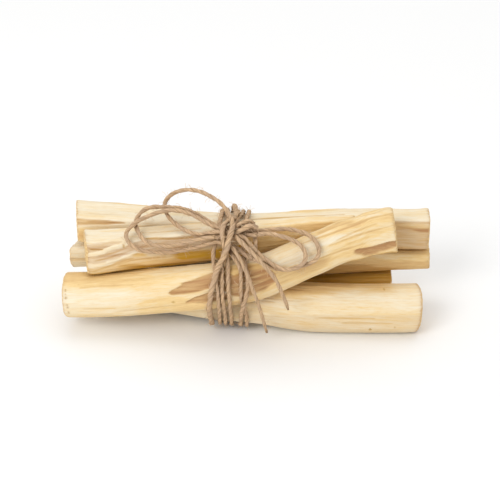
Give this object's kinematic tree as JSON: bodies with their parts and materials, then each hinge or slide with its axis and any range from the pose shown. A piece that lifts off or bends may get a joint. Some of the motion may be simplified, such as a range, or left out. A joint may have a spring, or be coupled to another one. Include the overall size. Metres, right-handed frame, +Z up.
{
  "type": "palo santo stick bundle",
  "caption": "Bundle of short hand-split palo santo wood sticks, bound round the middle with jute twine tied in a bow, lying on its side.",
  "frame": {"origin": "on the surface that the bundle lies on, below the middle of the tied sticks", "axes": "+X along the bundle, with the crossing stick's raised end at +X; +Y towards the back, away from the bow; +Z up"},
  "size_m": [0.1036, 0.0393, 0.0395],
  "materials": {
    "palo_santo": "bare split wood, matte",
    "jute_twine": "twisted plant fibre, matte"
  },
  "bodies": {
    "root": {"stick_front_lower": "palo_santo", "stick_front_crossing": "palo_santo", "stick_front_upper": "palo_santo", "stick_rear_upper": "palo_santo", "stick_rear_middle": "palo_santo", "stick_rear_lower": "palo_santo", "twine_wraps": "jute_twine", "twine_knot": "jute_twine", "bow_loop_left_tall": "jute_twine", "bow_loop_left_wide": "jute_twine", "bow_loop_left_inner": "jute_twine", "bow_loop_right_outer": "jute_twine", "bow_loop_right_inner": "jute_twine", "twine_tail_long": "jute_twine", "twine_tail_short": "jute_twine"}
  },
  "joints": []
}
